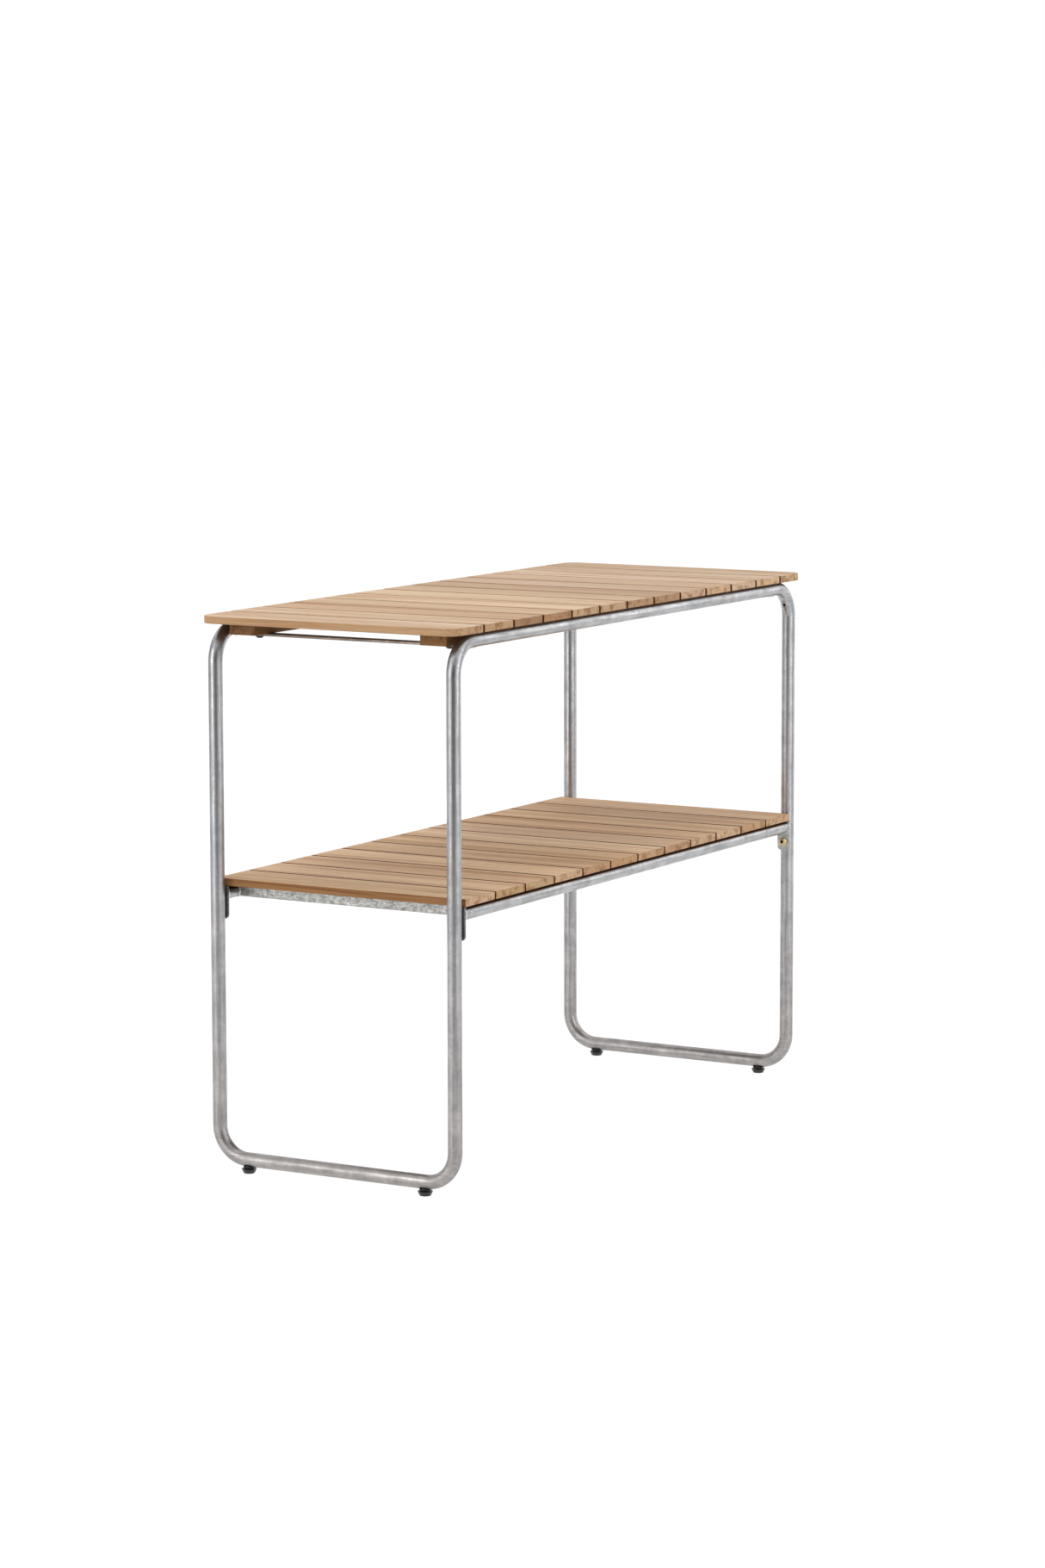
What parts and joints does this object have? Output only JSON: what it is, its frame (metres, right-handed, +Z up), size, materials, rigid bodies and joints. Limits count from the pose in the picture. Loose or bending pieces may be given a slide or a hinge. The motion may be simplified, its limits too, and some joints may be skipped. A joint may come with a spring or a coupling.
{
  "type": "slatted outdoor table",
  "caption": "Narrow two-tier outdoor table: a slatted wooden top and shelf on a bent galvanised tube frame with screw-adjusted feet.",
  "frame": {"origin": "on the floor, under the middle of the table", "axes": "+X along the long side to the right seen from the front, +Y towards the rear, +Z up"},
  "size_m": [1.145, 0.455, 0.862],
  "materials": {
    "galvanised_steel": "hot-dip galvanised, dull and mottled",
    "top_teak": "sanded, unvarnished, straight grain",
    "shelf_teak": "sanded, unvarnished, straight grain",
    "batten_teak": "sawn and sanded, darker",
    "zinc_fastener": "yellow passivated zinc plate",
    "brass_insert": "bare machined",
    "black_stud": "black oxide",
    "black_plastic": "moulded, slightly glossy"
  },
  "bodies": {
    "frame": {"front_hoop": "galvanised_steel", "rear_hoop": "galvanised_steel", "left_floor_loop": "galvanised_steel", "right_floor_loop": "galvanised_steel", "left_top_crossbar": "galvanised_steel", "right_top_crossbar": "galvanised_steel", "front_batten": "batten_teak", "rear_batten": "batten_teak", "top_slat_01": "top_teak", "top_slat_02": "top_teak", "top_slat_03": "top_teak", "top_slat_04": "top_teak", "top_slat_05": "top_teak", "top_slat_06": "top_teak", "top_slat_07": "top_teak", "top_slat_08": "top_teak", "top_slat_09": "top_teak", "top_slat_10": "top_teak", "top_slat_11": "top_teak", "top_slat_12": "top_teak", "top_slat_13": "top_teak", "front_shelf_tube": "galvanised_steel", "rear_shelf_tube": "galvanised_steel", "left_shelf_crossmember": "galvanised_steel", "right_shelf_crossmember": "galvanised_steel", "end_plate_front_left": "galvanised_steel", "end_plate_front_right": "galvanised_steel", "end_plate_rear_left": "galvanised_steel", "end_plate_rear_right": "galvanised_steel", "shelf_slat_01": "shelf_teak", "shelf_slat_02": "shelf_teak", "shelf_slat_03": "shelf_teak", "shelf_slat_04": "shelf_teak", "shelf_slat_05": "shelf_teak", "shelf_slat_06": "shelf_teak", "shelf_slat_07": "shelf_teak", "shelf_slat_08": "shelf_teak", "shelf_slat_09": "shelf_teak", "shelf_slat_10": "shelf_teak", "shelf_slat_11": "shelf_teak", "shelf_slat_12": "shelf_teak", "batten_bolts": "zinc_fastener", "batten_inserts": "brass_insert", "top_slat_screws": "zinc_fastener", "shelf_slat_screws": "zinc_fastener", "shelf_bolts": "zinc_fastener", "shelf_bolt_washers": "zinc_fastener", "leg_bushes": "galvanised_steel", "foot_bushes": "black_plastic"},
    "front_left_pad": {"foot_pad_front_left": "black_plastic"},
    "front_left_stud": {"foot_stud_front_left": "black_stud"},
    "front_right_pad": {"foot_pad_front_right": "black_plastic"},
    "front_right_stud": {"foot_stud_front_right": "black_stud"},
    "rear_left_pad": {"foot_pad_rear_left": "black_plastic"},
    "rear_left_stud": {"foot_stud_rear_left": "black_stud"},
    "rear_right_pad": {"foot_pad_rear_right": "black_plastic"},
    "rear_right_stud": {"foot_stud_rear_right": "black_stud"}
  },
  "joints": [
    {"name": "front_left_foot_lift", "type": "slide", "parent": "frame", "child": "front_left_pad", "axis": [0, 0, -1], "range_m": [-0.00102, 0.00802]},
    {"name": "front_left_foot_screw", "type": "hinge", "parent": "front_left_pad", "child": "front_left_stud", "pos_m": [-0.55, -0.159, 0.01], "axis": [0, 0, -1], "range_deg": [-288, 2304]},
    {"name": "front_right_foot_lift", "type": "slide", "parent": "frame", "child": "front_right_pad", "axis": [0, 0, -1], "range_m": [-0.00102, 0.00802]},
    {"name": "front_right_foot_screw", "type": "hinge", "parent": "front_right_pad", "child": "front_right_stud", "pos_m": [0.55, -0.159, 0.01], "axis": [0, 0, -1], "range_deg": [-288, 2304]},
    {"name": "rear_left_foot_lift", "type": "slide", "parent": "frame", "child": "rear_left_pad", "axis": [0, 0, -1], "range_m": [-0.00102, 0.00802]},
    {"name": "rear_left_foot_screw", "type": "hinge", "parent": "rear_left_pad", "child": "rear_left_stud", "pos_m": [-0.55, 0.159, 0.01], "axis": [0, 0, -1], "range_deg": [-288, 2304]},
    {"name": "rear_right_foot_lift", "type": "slide", "parent": "frame", "child": "rear_right_pad", "axis": [0, 0, -1], "range_m": [-0.00102, 0.00802]},
    {"name": "rear_right_foot_screw", "type": "hinge", "parent": "rear_right_pad", "child": "rear_right_stud", "pos_m": [0.55, 0.159, 0.01], "axis": [0, 0, -1], "range_deg": [-288, 2304]}
  ],
  "couplings": [
    {"joint": "front_left_foot_lift", "follows": "front_left_foot_screw", "m_per_rad": 0.00019894},
    {"joint": "front_right_foot_lift", "follows": "front_right_foot_screw", "m_per_rad": 0.00019894},
    {"joint": "rear_left_foot_lift", "follows": "rear_left_foot_screw", "m_per_rad": 0.00019894},
    {"joint": "rear_right_foot_lift", "follows": "rear_right_foot_screw", "m_per_rad": 0.00019894}
  ]
}
